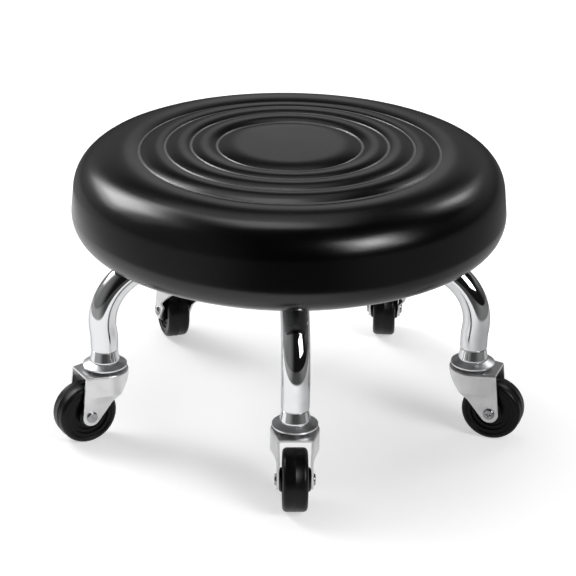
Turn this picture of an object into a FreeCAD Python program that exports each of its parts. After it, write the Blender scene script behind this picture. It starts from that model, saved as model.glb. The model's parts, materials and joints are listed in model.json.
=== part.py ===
import FreeCAD, Part
import math
import os
from collections import namedtuple

# Low rolling stool: a round padded seat on five bent chrome legs, each with a swivel caster.
# Millimetres, +Z up. The origin is on the floor under the middle of the seat, and the front leg
# points along -Y. Heights are stacked from the floor up, so a larger wheel lifts everything above it.

V = FreeCAD.Vector
ORIGIN = V(0, 0, 0)
UP = V(0, 0, 1)
SIDEWAYS = V(0, 1, 0)
FULL_TURN = 360.0
HALF_TURN = 180.0
QUARTER_TURN = 90.0

# Shared clearances
OVERRUN = 2.0
FIT = 0.05
FLOAT = 0.3
JOIN = 0.001

# Wheel
WHEEL_DIAMETER = 50.0
WHEEL_WIDTH = 19.6
TREAD_SHOULDER = 3.5
CORE_DIAMETER = 40.0
CORE_SINK = 0.5
CORE_RIM = 3.2
WEB_SINK = 1.6
WEB_STEP = 1.2
WEB_STEP_DIAMETER = 27.0
BOSS_DIAMETER = 19.0
BOSS_PROUD = 2.4
BOSS_CHAMFER = 1.2
BUSH_DIAMETER = 10.0

# Axle: a domed barrel nut, and the screw that closes it from the other side
AXLE_DIAMETER = 6.0
AXLE_HEAD_DIAMETER = 9.4
AXLE_HEAD_HEIGHT = 1.8
AXLE_HEAD_ROUND = 1.2
AXLE_SCREW_DIAMETER = 4.0
AXLE_SCREW_LENGTH = 9.0
AXLE_END_GAP = 0.3
RECESS_LENGTH = 4.4
RECESS_WIDTH = 1.0
RECESS_DEPTH = 1.1

# Fork
TRAIL = 19.1
SHEET = 1.6
WHEEL_TOP_GAP = 8.8
FORK_LIP = 1.2
FORK_FRONT_HALF_WIDTH = 14.8
FORK_FRONT_REACH = 3.7
FORK_WIDE_DEPTH = 18.0
FORK_NARROW_RISE = 10.0
FORK_BACK_DEPTH = 2.5
FORK_BEND = 2.0
LUG_RADIUS = 7.7

# Swivel: stem, raceway cap and balls
STEM_DIAMETER = 10.0
STEM_TIP = 2.0
STEM_HEAD_DIAMETER = 17.0
STEM_HEAD_HEIGHT = 2.4
CAP_DIAMETER = 35.8
CAP_RIM = 1.3
CAP_CONE = 2.7
BALL_DIAMETER = 4.0
BALL_CIRCLE_DIAMETER = 26.0
BALL_COUNT = 12
RACE_GAP = 2.2

# Leg socket: the flared chrome collar between the tube and the caster
COLLAR_HEIGHT = 9.9
COLLAR_TOP_DIAMETER = 20.8
COLLAR_FLARE_DIAMETER = 24.0
COLLAR_BEAD = 1.0
COLLAR_UNDERCUT = 0.7
COLLAR_CHAMFER = 0.5
SPIGOT_CHAMFER = 1.0

# Legs
LEG_COUNT = 5
STEM_CIRCLE_DIAMETER = 316.0
TUBE_DIAMETER = 22.2
TUBE_WALL = 1.5
TUBE_END_ROUND = 1.1
LEG_FOOT_RUN = 8.4
LEG_JOG_RADIUS = 40.0
LEG_LEAN_RUN = 4.0
LEG_LEAN = 7.5
LEG_BEND_RADIUS = 45.0
LEG_INNER_RADIUS = 24.0

# Base plate under the seat
PLATE_THICKNESS = 2.0
PLATE_INSET = 21.25
PLATE_EDGE_ROUND = 0.7

# Seat
SEAT_DIAMETER = 351.5
SEAT_THICKNESS = 77.0
BAND_WIDTH = 54.25
BAND_RADIUS = 63.0
BAND_CREST_OUT = 13.0
SHOULDER_RADIUS = 30.0
SHOULDER_INSET = 1.8
LOWER_RADIUS = 24.0
RING_COUNT = 3
RING_PITCH = 20.95
RING_RADIUS = 29.0
DISC_EDGE_WIDTH = 18.7
DISC_EDGE_DROP = 2.4
CROWN_RADIUS = 220.0
CROWN_CREST_OUT = 20.3
LIP_RADIUS = 2.0
GROOVE_RADIUS = 0.9
GROOVE_STEEPNESS = 52.5
COVER_THICKNESS = 1.2
HEM_WIDTH = 29.0
BOARD_THICKNESS = 12.0
FOAM_SKIRT = 6.0

# Seat screws and tee nuts
SCREW_CIRCLE_DIAMETER = 180.0
SCREW_DIAMETER = 6.0
SCREW_LENGTH = 12.0
SCREW_HEAD_DIAMETER = 11.5
SCREW_HEAD_HEIGHT = 3.6
SCREW_HEAD_ROUND = 1.6
TEE_FLANGE_DIAMETER = 19.0
TEE_FLANGE_THICKNESS = 1.4
TEE_BARREL_DIAMETER = 8.0
TEE_BARREL_LENGTH = 9.0

# Staples that hold the cover's hem to the board
STAPLE_COUNT = 24
STAPLE_INSET = 12.0
STAPLE_CROWN = 10.0
STAPLE_WIRE = 0.8
STAPLE_LEG = 8.0

# Where the legs stand, and how far each caster has turned from pointing straight outwards, in degrees
LEG_ANGLES = {"front": -90.0, "right": -18.0, "back_right": 54.0, "back_left": 126.0, "left": -162.0}
CASTER_TURNS = {"front": -1.0, "right": -4.0, "back_right": 30.0, "back_left": -20.0, "left": 10.0}

# Heights from the floor up
LEAN = math.radians(LEG_LEAN)
AXLE_Z = WHEEL_DIAMETER / 2
FORK_TOP = WHEEL_DIAMETER + WHEEL_TOP_GAP + SHEET
CAP_BOTTOM = FORK_TOP + RACE_GAP
CAP_TOP = CAP_BOTTOM + CAP_RIM + CAP_CONE
TUBE_END = CAP_TOP + COLLAR_HEIGHT
JOG_BOTTOM = TUBE_END + LEG_FOOT_RUN
JOG_TOP = JOG_BOTTOM + LEG_JOG_RADIUS * math.sin(LEAN)
KNEE_Z = JOG_TOP + LEG_LEAN_RUN * math.cos(LEAN)
LEG_RUN_Z = KNEE_Z + LEG_BEND_RADIUS * (1 + math.sin(LEAN))
PLATE_BOTTOM = LEG_RUN_Z + TUBE_DIAMETER / 2
SEAT_BOTTOM = PLATE_BOTTOM + PLATE_THICKNESS
SEAT_TOP = SEAT_BOTTOM + SEAT_THICKNESS
BOARD_BOTTOM = SEAT_BOTTOM + COVER_THICKNESS
BOARD_TOP = BOARD_BOTTOM + BOARD_THICKNESS

# Radii that follow from the sizes above
SEAT_RADIUS = SEAT_DIAMETER / 2
OUTER_LINE_RADIUS = SEAT_RADIUS - BAND_WIDTH
DISC_RADIUS = OUTER_LINE_RADIUS - RING_COUNT * RING_PITCH
GROOVE_REACH = LIP_RADIUS + GROOVE_RADIUS
GROOVE_HALF_WIDTH = GROOVE_REACH * math.sin(math.radians(GROOVE_STEEPNESS))
BOARD_RADIUS = SEAT_RADIUS - LOWER_RADIUS
STEM_CIRCLE_RADIUS = STEM_CIRCLE_DIAMETER / 2
STEM_RADIUS = STEM_DIAMETER / 2
SOCKET_BORE_RADIUS = STEM_RADIUS + FIT
TUBE_BORE_RADIUS = TUBE_DIAMETER / 2 - TUBE_WALL
FORK_BACK_RADIUS = CAP_DIAMETER / 2 + FORK_LIP
BOSS_HALF_WIDTH = WHEEL_WIDTH / 2 + BOSS_PROUD
FORK_NARROW_HALF_WIDTH = BOSS_HALF_WIDTH + FLOAT + SHEET


# Shared shapes

def turned(profile):
    """A solid of revolution about Z from a closed outline of (radius, height) points."""
    points = [V(radius, 0, height) for radius, height in profile]
    return Part.Face(Part.makePolygon(points + points[:1])).revolve(ORIGIN, UP, FULL_TURN)


def cylinder(radius, bottom, top):
    """An upright cylinder about Z between two heights."""
    return Part.makeCylinder(radius, top - bottom, V(0, 0, bottom))


def brick(length, width, bottom, top):
    """A box centred on Z, between two heights."""
    return Part.makeBox(length, width, top - bottom, V(-length / 2, -width / 2, bottom))


def cross_recess(top):
    """The cutter of a cross recess that sinks into a screw head from the height of its top."""
    bottom = top - RECESS_DEPTH
    slot = brick(RECESS_LENGTH, RECESS_WIDTH, bottom, top + OVERRUN)
    return slot.fuse(slot.rotated(ORIGIN, UP, QUARTER_TURN))


def around(shape, radius, angle):
    """The shape, moved out along X and turned about Z."""
    return shape.translated(V(radius, 0, 0)).rotated(ORIGIN, UP, angle)


def tangent_point(x, y, centre_x, centre_y, radius, side):
    """Where a line from (x, y) touches a circle: side 1 is to the left of the way to its centre."""
    away_x = x - centre_x
    away_y = y - centre_y
    spread = math.acos(radius / math.hypot(away_x, away_y))
    angle = math.atan2(away_y, away_x) - side * spread
    return centre_x + radius * math.cos(angle), centre_y + radius * math.sin(angle)


# Seat

Round = namedtuple("Round", "r z radius bulge")


def pressed_lines():
    """Where the pressed lines lie on the seat's crown, from the disc out, as (radius, height)."""
    places = []
    for index in range(RING_COUNT + 1):
        out = index * RING_PITCH
        rise = out * (2 * CROWN_CREST_OUT - out) / (2 * CROWN_RADIUS)
        places.append((DISC_RADIUS + out, SEAT_TOP - DISC_EDGE_DROP + rise))
    return places


def ring_between(first, second):
    """The swell of a ring, through the pressed lines on both sides of it."""
    run_r = second[0] - first[0]
    run_z = second[1] - first[1]
    run = math.hypot(run_r, run_z)
    sink = math.sqrt(RING_RADIUS * RING_RADIUS - run * run / 4)
    r = (first[0] + second[0]) / 2 + sink * run_z / run
    z = (first[1] + second[1]) / 2 - sink * run_r / run
    return Round(r, z, RING_RADIUS, 1)


def seat_swells():
    """The broad swells of the seat's top: the disc's edge, the rings and the outer band."""
    places = pressed_lines()
    edge_radius = (DISC_EDGE_WIDTH * DISC_EDGE_WIDTH / DISC_EDGE_DROP + DISC_EDGE_DROP) / 2
    swells = [Round(DISC_RADIUS - DISC_EDGE_WIDTH, SEAT_TOP - edge_radius, edge_radius, 1)]
    swells += [ring_between(first, second) for first, second in zip(places, places[1:])]
    sink = math.sqrt(BAND_RADIUS * BAND_RADIUS - BAND_CREST_OUT * BAND_CREST_OUT)
    swells.append(Round(OUTER_LINE_RADIUS + BAND_CREST_OUT, places[-1][1] - sink, BAND_RADIUS, 1))
    return swells


def round_inside(swell, r, radius):
    """A smaller round with its centre at a radius of the seat, which touches a swell from inside."""
    reach = swell.radius - radius
    across = r - swell.r
    return Round(r, swell.z + math.sqrt(reach * reach - across * across), radius, 1)


def groove_between(inner, outer):
    """The small hollow round that touches the lips on both sides of a pressed line."""
    gap_r = outer.r - inner.r
    gap_z = outer.z - inner.z
    gap = math.hypot(gap_r, gap_z)
    lift = math.sqrt(GROOVE_REACH * GROOVE_REACH - gap * gap / 4)
    r = (inner.r + outer.r) / 2 - lift * gap_z / gap
    z = (inner.z + outer.z) / 2 + lift * gap_r / gap
    return Round(r, z, GROOVE_RADIUS, -1)


def seat_rounds():
    """All rounds of the seat's outline, from the middle disc out and down to the lower edge."""
    swells = seat_swells()
    rounds = swells[:1]
    for (line_r, _), inner, outer in zip(pressed_lines(), swells, swells[1:]):
        inner_lip = round_inside(inner, line_r - GROOVE_HALF_WIDTH, LIP_RADIUS)
        outer_lip = round_inside(outer, line_r + GROOVE_HALF_WIDTH, LIP_RADIUS)
        rounds += [inner_lip, groove_between(inner_lip, outer_lip), outer_lip, outer]
    shoulder_r = SEAT_RADIUS - SHOULDER_INSET - SHOULDER_RADIUS
    rounds.append(round_inside(swells[-1], shoulder_r, SHOULDER_RADIUS))
    rounds.append(Round(SEAT_RADIUS - LOWER_RADIUS, SEAT_BOTTOM + LOWER_RADIUS, LOWER_RADIUS, 1))
    return rounds


def on_round(item, angle, inset):
    """A point of a round at an angle, moved in by the inset."""
    radius = item.radius - item.bulge * inset
    return V(item.r + radius * math.cos(angle), 0, item.z + radius * math.sin(angle))


def meeting_angles(first, second):
    """The angles at which one round of the outline ends and the next one starts."""
    gap_r = second.r - first.r
    gap_z = second.z - first.z
    heading = math.atan2(gap_z, gap_r)
    if first.bulge != second.bulge:
        return heading, heading + math.pi
    step = (first.radius - second.radius) / math.hypot(gap_r, gap_z)
    normal = heading + math.acos(max(-1, min(1, step)))
    return normal, normal


def seat_outline(inset):
    """The seat's outline from its middle to its underside, moved in by an inset, as edges."""
    rounds = seat_rounds()
    starts = [math.pi / 2]
    ends = []
    for first, second in zip(rounds, rounds[1:]):
        end, start = meeting_angles(first, second)
        ends.append(end)
        starts.append(start)
    ends.append(-math.pi / 2)
    edges = []
    last = V(0, 0, SEAT_TOP - inset)
    for item, start, end in zip(rounds, starts, ends):
        swing = math.remainder(end - start, 2 * math.pi)
        first_point = on_round(item, start, inset)
        middle_point = on_round(item, start + swing / 2, inset)
        end_point = on_round(item, start + swing, inset)
        if last.distanceToPoint(first_point) > JOIN:
            edges.append(Part.LineSegment(last, first_point).toShape())
        else:
            first_point = last
        edges.append(Part.Arc(first_point, middle_point, end_point).toShape())
        last = end_point
    return edges, last


def lines(points):
    """Straight edges from point to point."""
    return [Part.LineSegment(a, b).toShape() for a, b in zip(points, points[1:])]


def spun(edges):
    """A solid of revolution about Z from the edges of a closed outline."""
    wire = Part.Wire(Part.__sortEdges__(edges))
    return Part.Face(wire).revolve(ORIGIN, UP, FULL_TURN)


def staple(grow):
    """One staple at the hem's underside, made larger all round for the slot that it sits in."""
    wire = STAPLE_WIRE + 2 * grow
    width = STAPLE_CROWN + 2 * grow
    low = SEAT_BOTTOM - grow
    high = SEAT_BOTTOM + COVER_THICKNESS + STAPLE_LEG + grow
    shape = brick(wire, width, low, low + wire)
    for side in (-1, 1):
        shift = V(0, side * (STAPLE_CROWN - STAPLE_WIRE) / 2, 0)
        shape = shape.fuse(brick(wire, wire, low, high).translated(shift))
    return shape.removeSplitter()


def staples(grow):
    """The ring of staples, between the middle of the board and its edge."""
    radius = BOARD_RADIUS - STAPLE_INSET
    one = staple(grow)
    return [around(one, radius, index * FULL_TURN / STAPLE_COUNT) for index in range(STAPLE_COUNT)]


def seat_cover():
    """The vinyl skin: pressed rings on top, one shoulder, and a hem folded under the board."""
    outer, outer_end = seat_outline(0)
    inner, inner_end = seat_outline(COVER_THICKNESS)
    hem_radius = BOARD_RADIUS - HEM_WIDTH
    hem = [outer_end, V(hem_radius, 0, SEAT_BOTTOM), V(hem_radius, 0, BOARD_BOTTOM), inner_end]
    middle = [V(0, 0, SEAT_TOP - COVER_THICKNESS), V(0, 0, SEAT_TOP)]
    return spun(outer + inner + lines(hem) + lines(middle)).cut(staples(FIT))


def seat_foam():
    """The foam pad, which fills the cover, sits on the board and wraps its edge."""
    inset = COVER_THICKNESS + FLOAT
    edges, end = seat_outline(inset)
    closing = [end, V(0, 0, end.z), V(0, 0, SEAT_TOP - inset)]
    foam = spun(edges + lines(closing))
    under = SEAT_BOTTOM - OVERRUN
    board_room = cylinder(BOARD_RADIUS + FLOAT, under, BOARD_TOP)
    skirt_cut = cylinder(SEAT_RADIUS + OVERRUN, under, BOARD_TOP - FOAM_SKIRT)
    return foam.cut([board_room, skirt_cut])


def screw_places(shape):
    """Copies of a shape at the seat screws, each midway between two legs."""
    pitch = FULL_TURN / LEG_COUNT
    start = LEG_ANGLES["front"] + pitch / 2
    return [around(shape, SCREW_CIRCLE_DIAMETER / 2, start + index * pitch) for index in range(LEG_COUNT)]


def tee_nut():
    """A tee nut sunk flush into the top of the board."""
    flange = TEE_FLANGE_DIAMETER / 2
    barrel = TEE_BARREL_DIAMETER / 2
    bore = SCREW_DIAMETER / 2 + FIT
    flange_bottom = BOARD_TOP - TEE_FLANGE_THICKNESS
    end = BOARD_TOP - TEE_BARREL_LENGTH
    return turned([(bore, end), (barrel, end), (barrel, flange_bottom), (flange, flange_bottom),
                   (flange, BOARD_TOP), (bore, BOARD_TOP)])


def tee_nut_hole():
    """The stepped hole that a tee nut and the screw below it need."""
    flange_bottom = BOARD_TOP - TEE_FLANGE_THICKNESS
    flange = cylinder(TEE_FLANGE_DIAMETER / 2 + FIT, flange_bottom, BOARD_TOP + OVERRUN)
    return flange.fuse(cylinder(TEE_BARREL_DIAMETER / 2 + FIT, BOARD_BOTTOM - OVERRUN, BOARD_TOP))


def seat_board():
    """The plywood board inside the seat."""
    board = cylinder(BOARD_RADIUS, BOARD_BOTTOM, BOARD_TOP)
    return board.cut(screw_places(tee_nut_hole()) + staples(FIT))


def seat_screw():
    """A round-headed screw, up through the base plate into its tee nut."""
    shank = cylinder(SCREW_DIAMETER / 2, PLATE_BOTTOM, PLATE_BOTTOM + SCREW_LENGTH)
    head = cylinder(SCREW_HEAD_DIAMETER / 2, -SCREW_HEAD_HEIGHT, 0)
    lower = [edge for edge in head.Edges if edge.BoundBox.ZMax < -SCREW_HEAD_HEIGHT / 2]
    head = head.makeFillet(SCREW_HEAD_ROUND, lower)
    recess = cross_recess(SCREW_HEAD_HEIGHT).rotated(ORIGIN, SIDEWAYS, HALF_TURN)
    return shank.fuse(head.cut(recess).translated(V(0, 0, PLATE_BOTTOM)))


def base_plate():
    """The round chromed plate that the legs are welded under and the seat is screwed on."""
    plate = cylinder(SEAT_RADIUS - PLATE_INSET, PLATE_BOTTOM, SEAT_BOTTOM)
    rims = [edge for edge in plate.Edges if edge.BoundBox.ZLength < PLATE_THICKNESS / 2]
    plate = plate.makeFillet(PLATE_EDGE_ROUND, rims)
    hole = cylinder(SCREW_DIAMETER / 2 + FLOAT, PLATE_BOTTOM - OVERRUN, SEAT_BOTTOM + OVERRUN)
    return plate.cut(screw_places(hole))


# Legs

def leg_path():
    """The leg's middle line in the X-Z plane, from its inner end out, over the bend and down."""
    jog_r = STEM_CIRCLE_RADIUS + LEG_JOG_RADIUS
    jog_top_r = jog_r - LEG_JOG_RADIUS * math.cos(LEAN)
    knee_r = jog_top_r + LEG_LEAN_RUN * math.sin(LEAN)
    bend_r = knee_r - LEG_BEND_RADIUS * math.cos(LEAN)
    bend_z = LEG_RUN_Z - LEG_BEND_RADIUS
    half_bend = (math.pi / 2 - LEAN) / 2
    inner_end = V(LEG_INNER_RADIUS, 0, LEG_RUN_Z)
    bend_top = V(bend_r, 0, LEG_RUN_Z)
    bend_middle = V(bend_r + LEG_BEND_RADIUS * math.cos(half_bend), 0,
                    bend_z + LEG_BEND_RADIUS * math.sin(half_bend))
    knee = V(knee_r, 0, KNEE_Z)
    jog_top = V(jog_top_r, 0, JOG_TOP)
    jog_middle = V(jog_r - LEG_JOG_RADIUS * math.cos(LEAN / 2), 0,
                   JOG_BOTTOM + LEG_JOG_RADIUS * math.sin(LEAN / 2))
    jog_bottom = V(STEM_CIRCLE_RADIUS, 0, JOG_BOTTOM)
    foot = V(STEM_CIRCLE_RADIUS, 0, TUBE_END)
    edges = [Part.LineSegment(inner_end, bend_top).toShape()]
    edges.append(Part.Arc(bend_top, bend_middle, knee).toShape())
    edges.append(Part.LineSegment(knee, jog_top).toShape())
    edges.append(Part.Arc(jog_top, jog_middle, jog_bottom).toShape())
    edges.append(Part.LineSegment(jog_bottom, foot).toShape())
    return Part.Wire(edges)


def swept(path, radius):
    """A round bar along the leg's middle line."""
    start = V(LEG_INNER_RADIUS, 0, LEG_RUN_Z)
    ring = Part.Wire(Part.Circle(start, V(1, 0, 0), radius).toShape())
    return path.makePipeShell([ring], True, True)


def leg():
    """One bent tube, its lower end rolled in a little over the socket."""
    path = leg_path()
    bar = swept(path, TUBE_DIAMETER / 2)
    low = [edge for edge in bar.Edges if edge.BoundBox.ZMax < TUBE_END + FIT]
    return bar.makeFillet(TUBE_END_ROUND, low).cut(swept(path, TUBE_BORE_RADIUS))


def leg_socket():
    """The collar under the tube, with the spigot that fills the tube and holds the stem."""
    top = COLLAR_TOP_DIAMETER / 2
    flare = COLLAR_FLARE_DIAMETER / 2
    spigot = TUBE_BORE_RADIUS - FIT
    spigot_end = JOG_BOTTOM - FLOAT
    bead = CAP_TOP + COLLAR_UNDERCUT
    return turned([(SOCKET_BORE_RADIUS, CAP_TOP), (flare - COLLAR_UNDERCUT, CAP_TOP), (flare, bead),
                   (flare, bead + COLLAR_BEAD), (top, TUBE_END - COLLAR_CHAMFER),
                   (top - COLLAR_CHAMFER, TUBE_END), (spigot, TUBE_END),
                   (spigot, spigot_end - SPIGOT_CHAMFER), (spigot - SPIGOT_CHAMFER, spigot_end),
                   (SOCKET_BORE_RADIUS, spigot_end)])


# Swivel

def caster_stem():
    """The king pin: held in the socket above, with a peened head under the fork's top."""
    head = STEM_HEAD_DIAMETER / 2
    head_top = FORK_TOP - SHEET - FLOAT
    head_bottom = head_top - STEM_HEAD_HEIGHT
    top = JOG_BOTTOM + STEM_TIP
    return turned([(0, head_bottom), (STEM_RADIUS, head_bottom), (head, head_top - STEM_HEAD_HEIGHT / 2),
                   (head, head_top), (STEM_RADIUS, head_top), (STEM_RADIUS, top), (0, top)])


def ball_height():
    """The middle of the balls, a little above the fork's top."""
    return FORK_TOP + FLOAT + BALL_DIAMETER / 2


def raceway_cap():
    """The conical cap over the balls, with their track in its underside."""
    rim = CAP_DIAMETER / 2
    neck = COLLAR_FLARE_DIAMETER / 2
    cap = turned([(SOCKET_BORE_RADIUS, CAP_BOTTOM), (rim, CAP_BOTTOM), (rim, CAP_BOTTOM + CAP_RIM),
                  (neck, CAP_TOP), (SOCKET_BORE_RADIUS, CAP_TOP)])
    track = BALL_DIAMETER / 2 + FIT
    return cap.cut(Part.makeTorus(BALL_CIRCLE_DIAMETER / 2, track, V(0, 0, ball_height())))


def ball_ring():
    """The loose balls of one swivel."""
    ball = Part.makeSphere(BALL_DIAMETER / 2, V(0, 0, ball_height()))
    pitch = FULL_TURN / BALL_COUNT
    return [around(ball, BALL_CIRCLE_DIAMETER / 2, index * pitch) for index in range(BALL_COUNT)]


# Caster: the stem is on Z, and the wheel trails along +X

def fork_outline(back_radius, front_half_width, front, inset, height):
    """The fork in plan: round behind, with two sides drawn to the front, moved in by the inset."""
    touch_x, touch_y = tangent_point(TRAIL, front_half_width, 0, 0, back_radius, -1)
    side_angle = math.atan2(touch_y, touch_x)
    radius = back_radius - inset
    start_x = radius * math.cos(side_angle)
    start_y = radius * math.sin(side_angle)
    end_y = start_y - (front - start_x) * math.cos(side_angle) / math.sin(side_angle)
    left_start = V(start_x, start_y, height)
    right_start = V(start_x, -start_y, height)
    left_end = V(front, end_y, height)
    right_end = V(front, -end_y, height)
    edges = [Part.LineSegment(right_end, left_end).toShape()]
    edges.append(Part.LineSegment(left_end, left_start).toShape())
    edges.append(Part.Arc(left_start, V(-radius, 0, height), right_start).toShape())
    edges.append(Part.LineSegment(right_start, right_end).toShape())
    return Part.Wire(edges)


def fork_block(inset, front, top):
    """The fork's filled outside, or its inside where there is an inset."""
    low = AXLE_Z - LUG_RADIUS - OVERRUN
    narrow_z = AXLE_Z + FORK_NARROW_RISE
    wide_z = FORK_TOP - FORK_WIDE_DEPTH
    narrow = FORK_NARROW_HALF_WIDTH
    sections = [fork_outline(narrow, narrow, front, inset, low),
                fork_outline(narrow, narrow, front, inset, narrow_z),
                fork_outline(FORK_BACK_RADIUS, FORK_FRONT_HALF_WIDTH, front, inset, wide_z),
                fork_outline(FORK_BACK_RADIUS, FORK_FRONT_HALF_WIDTH, front, inset, top)]
    return Part.makeLoft(sections, True, True)


def fork_side_view():
    """The fork's outline from the side, as a slab: sloped behind, and round about the axle."""
    back = -FORK_BACK_RADIUS
    slope_z = FORK_TOP - FORK_BACK_DEPTH
    front_top = TRAIL + FORK_FRONT_REACH
    slope_x, slope_low = tangent_point(back, slope_z, TRAIL, AXLE_Z, LUG_RADIUS, -1)
    front_x, front_z = tangent_point(front_top, FORK_TOP, TRAIL, AXLE_Z, LUG_RADIUS, 1)
    width = FORK_BACK_RADIUS + OVERRUN

    def at(x, z):
        return V(x, -width, z)

    edges = lines([at(slope_x, slope_low), at(back, slope_z), at(back - OVERRUN, slope_z),
                   at(back - OVERRUN, FORK_TOP + OVERRUN), at(front_top, FORK_TOP + OVERRUN),
                   at(front_top, FORK_TOP), at(front_x, front_z)])
    round_end = at(TRAIL, AXLE_Z - LUG_RADIUS)
    edges.append(Part.Arc(at(front_x, front_z), round_end, at(slope_x, slope_low)).toShape())
    return Part.Face(Part.Wire(edges)).extrude(V(0, 2 * width, 0))


def fork():
    """One pressed fork: a top over the wheel, two cheeks and the skirt behind them, in one sheet."""
    front = TRAIL + LUG_RADIUS + OVERRUN
    block = fork_block(0, front, FORK_TOP)
    tops = [edge for edge in block.Edges
            if edge.BoundBox.ZMin > FORK_TOP - FIT and edge.BoundBox.XMin < front - FIT]
    block = block.makeFillet(FORK_BEND, tops)
    shell = block.cut(fork_block(SHEET, front + OVERRUN, FORK_TOP - SHEET))
    stem_hole = cylinder(STEM_RADIUS + FIT, FORK_TOP - SHEET - OVERRUN, FORK_TOP + OVERRUN)
    return shell.common(fork_side_view()).cut([stem_hole, on_axle(axle_hole())])


def on_axle(shape):
    """A shape made about Z, laid along the axle: its +Z end goes to the caster's left."""
    return shape.rotated(ORIGIN, V(1, 0, 0), -QUARTER_TURN).translated(V(TRAIL, 0, AXLE_Z))


def axle_hole():
    """The hole for the axle through both cheeks of the fork."""
    reach = FORK_NARROW_HALF_WIDTH + OVERRUN
    return cylinder(AXLE_DIAMETER / 2 + FIT, -reach, reach)


def domed_head(start):
    """A low domed head that starts at a height."""
    radius = AXLE_HEAD_DIAMETER / 2
    head = cylinder(radius, start, start + AXLE_HEAD_HEIGHT)
    crown = [edge for edge in head.Edges if edge.BoundBox.ZMin > start + AXLE_HEAD_HEIGHT / 2]
    return head.makeFillet(AXLE_HEAD_ROUND, crown)


def axle():
    """The barrel that the wheel turns on, with a plain domed head on the left."""
    end = FORK_NARROW_HALF_WIDTH
    barrel = cylinder(AXLE_DIAMETER / 2, AXLE_END_GAP - end, end).fuse(domed_head(end))
    bore_end = AXLE_SCREW_LENGTH + AXLE_END_GAP - end
    bore = cylinder(AXLE_SCREW_DIAMETER / 2 + FIT, -end - OVERRUN, bore_end)
    return on_axle(barrel.cut(bore).removeSplitter())


def axle_screw():
    """The screw that closes the barrel on the right, with a cross recess in its head."""
    end = FORK_NARROW_HALF_WIDTH
    head = domed_head(end).cut(cross_recess(end + AXLE_HEAD_HEIGHT))
    screw = head.fuse(cylinder(AXLE_SCREW_DIAMETER / 2, end - AXLE_SCREW_LENGTH, end))
    return on_axle(screw.rotated(ORIGIN, V(1, 0, 0), HALF_TURN))


def wheel_tread():
    """The rubber tread, with round shoulders."""
    half = WHEEL_WIDTH / 2
    ring = cylinder(WHEEL_DIAMETER / 2, -half, half)
    shoulders = [edge for edge in ring.Edges if edge.BoundBox.ZLength < half]
    ring = ring.makeFillet(TREAD_SHOULDER, shoulders)
    return on_axle(ring.cut(cylinder(CORE_DIAMETER / 2 + FIT, -half - OVERRUN, half + OVERRUN)))


def wheel_core():
    """The wheel's hard middle: a rim, a stepped web and a boss at each side."""
    bore = BUSH_DIAMETER / 2 + FIT
    boss = BOSS_DIAMETER / 2
    step = WEB_STEP_DIAMETER / 2
    rim = CORE_DIAMETER / 2
    face = WHEEL_WIDTH / 2 - CORE_SINK
    web = face - WEB_SINK
    side = [(bore, BOSS_HALF_WIDTH), (boss - BOSS_CHAMFER, BOSS_HALF_WIDTH),
            (boss, BOSS_HALF_WIDTH - BOSS_CHAMFER), (boss, web - WEB_STEP), (step, web - WEB_STEP),
            (step, web), (rim - CORE_RIM, web), (rim - CORE_RIM, face), (rim, face)]
    return on_axle(turned(side + [(radius, -height) for radius, height in reversed(side)]))


def wheel_bush():
    """The steel bush that runs on the axle."""
    bush = cylinder(BUSH_DIAMETER / 2, -BOSS_HALF_WIDTH, BOSS_HALF_WIDTH)
    reach = BOSS_HALF_WIDTH + OVERRUN
    return on_axle(bush.cut(cylinder(AXLE_DIAMETER / 2 + FIT, -reach, reach)))


# Assembly

def build():
    """Every node of the stool by name, each in its place."""
    nodes = {"seat_cover": seat_cover(), "seat_foam": seat_foam(), "seat_board": seat_board(),
             "base_plate": base_plate()}
    nodes["cover_staples"] = Part.makeCompound(staples(0))
    nodes["seat_tee_nuts"] = Part.makeCompound(screw_places(tee_nut()))
    nodes["seat_screws"] = Part.makeCompound(screw_places(seat_screw()))
    upright = {"leg_socket": leg_socket(), "caster_stem": caster_stem(), "raceway_cap": raceway_cap()}
    turning = {"fork": fork(), "axle": axle(), "axle_screw": axle_screw(), "wheel_tread": wheel_tread(),
               "wheel_core": wheel_core(), "wheel_bush": wheel_bush()}
    one_leg = leg()
    balls = []
    for place, angle in LEG_ANGLES.items():
        nodes["leg_" + place] = one_leg.rotated(ORIGIN, UP, angle)
        for name, shape in upright.items():
            nodes[name + "_" + place] = around(shape, STEM_CIRCLE_RADIUS, angle)
        for name, shape in turning.items():
            turned_shape = shape.rotated(ORIGIN, UP, CASTER_TURNS[place])
            nodes[name + "_" + place] = around(turned_shape, STEM_CIRCLE_RADIUS, angle)
        balls += [around(ball, STEM_CIRCLE_RADIUS, angle) for ball in ball_ring()]
    nodes["swivel_balls"] = Part.makeCompound(balls)
    return nodes


os.makedirs("parts", exist_ok=True)
for node, solid in build().items():
    solid.exportStep(os.path.join("parts", node + ".step"))
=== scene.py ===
"""Looks of a low rolling stool: a black ringed seat, chrome legs and five swivel casters.

Everything is in metres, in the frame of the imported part: the origin is on the floor under the
middle of the seat, +Z is up and the front leg points along -Y.
"""
import json
import logging
import math
from dataclasses import dataclass
from enum import Enum
from typing import Any, Iterable, Mapping, Union

import bmesh
import bpy
from mathutils import Matrix, Vector, noise


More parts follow.
